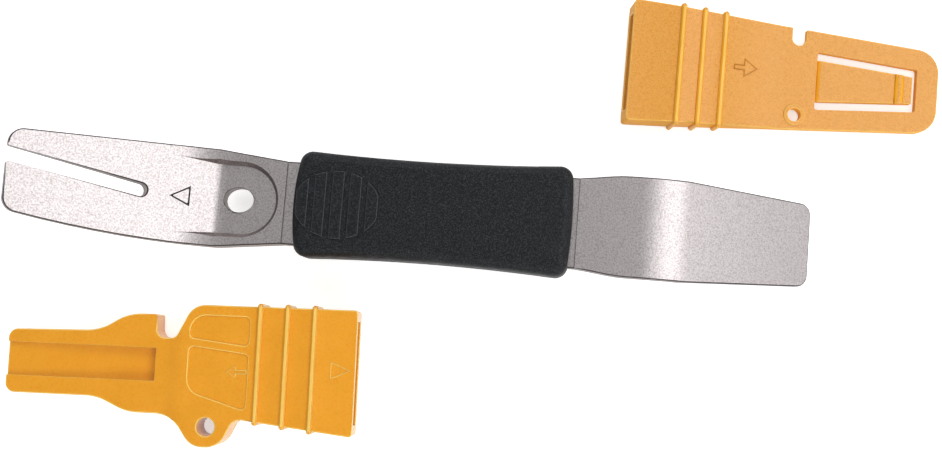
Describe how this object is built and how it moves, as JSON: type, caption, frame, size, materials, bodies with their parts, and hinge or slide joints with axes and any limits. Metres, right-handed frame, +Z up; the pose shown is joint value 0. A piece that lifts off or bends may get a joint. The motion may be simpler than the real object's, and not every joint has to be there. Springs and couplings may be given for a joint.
{
  "type": "disc brake multi-tool",
  "caption": "Hand tool for bicycle disc brakes: slotted rotor truing fork, piston press blade and rubber grip, with a pad spacer cover and a bleed block cover lying beside it.",
  "frame": {"origin": "centre of the whole set seen from above, on the surface that it lies on", "axes": "+X along the tool from the truing fork towards the press blade, +Y across it towards the pad spacer, +Z up from the surface"},
  "size_m": [0.2292, 0.1204, 0.0291],
  "materials": {
    "steel": "satin stainless steel, tumbled",
    "grip_rubber": "matte black rubber with a fine grain",
    "spacer_plastic": "moulded orange plastic, soft gloss",
    "block_plastic": "moulded amber plastic, soft gloss"
  },
  "bodies": {
    "tool": {"tool_body": "steel", "grip_sleeve": "grip_rubber"},
    "spacer": {"pad_spacer": "spacer_plastic"},
    "tongue": {"spacer_tongue": "spacer_plastic"},
    "block": {"bleed_block": "block_plastic"}
  },
  "joints": [
    {"name": "spacer_pull_off", "type": "slide", "parent": "tool", "child": "spacer", "axis": [0.9999, -0.014, 0], "range_m": [0, 0.035]},
    {"name": "block_pull_off", "type": "slide", "parent": "tool", "child": "block", "axis": [-0.9995, -0.0332, 0], "range_m": [0, 0.05]},
    {"name": "tongue_bend", "type": "hinge", "parent": "spacer", "child": "tongue", "pos_m": [0.08363, 0.04421, 0.00283], "axis": [-0.014, -0.9999, 0], "range_deg": [0, 6], "stiffness_Nm_per_rad": 0.9}
  ]
}
